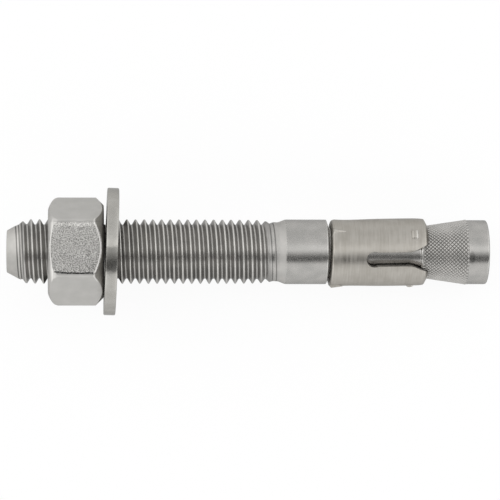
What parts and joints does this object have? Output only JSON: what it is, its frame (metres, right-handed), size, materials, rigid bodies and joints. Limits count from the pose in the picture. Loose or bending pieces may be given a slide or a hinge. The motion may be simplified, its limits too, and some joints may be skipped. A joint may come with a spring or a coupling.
{
  "type": "wedge anchor",
  "caption": "Stainless wedge anchor: threaded stud with a hex nut and washer, an expansion cone and a slotted expansion clip round its neck.",
  "frame": {"origin": "centre of the threaded end's face, on the stud's axis", "axes": "+X along the stud's axis towards the expansion cone, +Z out of the nut's upper flat, away from what the anchor lies on"},
  "size_m": [0.1406, 0.0372, 0.0372],
  "materials": {
    "stud_steel": "satin stainless, rolled thread, fine knurl on the cone",
    "clip_steel": "satin stainless strip, brushed round its girth",
    "washer_steel": "satin punched stainless",
    "nut_steel": "satin stainless with one pebbled forged flat"
  },
  "bodies": {
    "stud": {"stud": "stud_steel"},
    "washer": {"washer": "washer_steel"},
    "nut": {"hex_nut": "nut_steel"},
    "clip": {"expansion_clip": "clip_steel"}
  },
  "joints": [
    {"name": "washer_slide", "type": "slide", "parent": "stud", "child": "washer", "axis": [1, 0, 0], "range_m": [-0.0204, 0.0461]},
    {"name": "nut_turn", "type": "hinge", "parent": "washer", "child": "nut", "pos_m": [0.0201, 0, 0], "axis": [1, 0, 0], "range_deg": [-2880, 6480]},
    {"name": "clip_turn", "type": "hinge", "parent": "stud", "child": "clip", "pos_m": [0.1085, 0, 0], "axis": [1, 0, 0], "continuous": true}
  ],
  "couplings": [
    {"joint": "washer_slide", "follows": "nut_turn", "m_per_rad": 0.00040425}
  ]
}
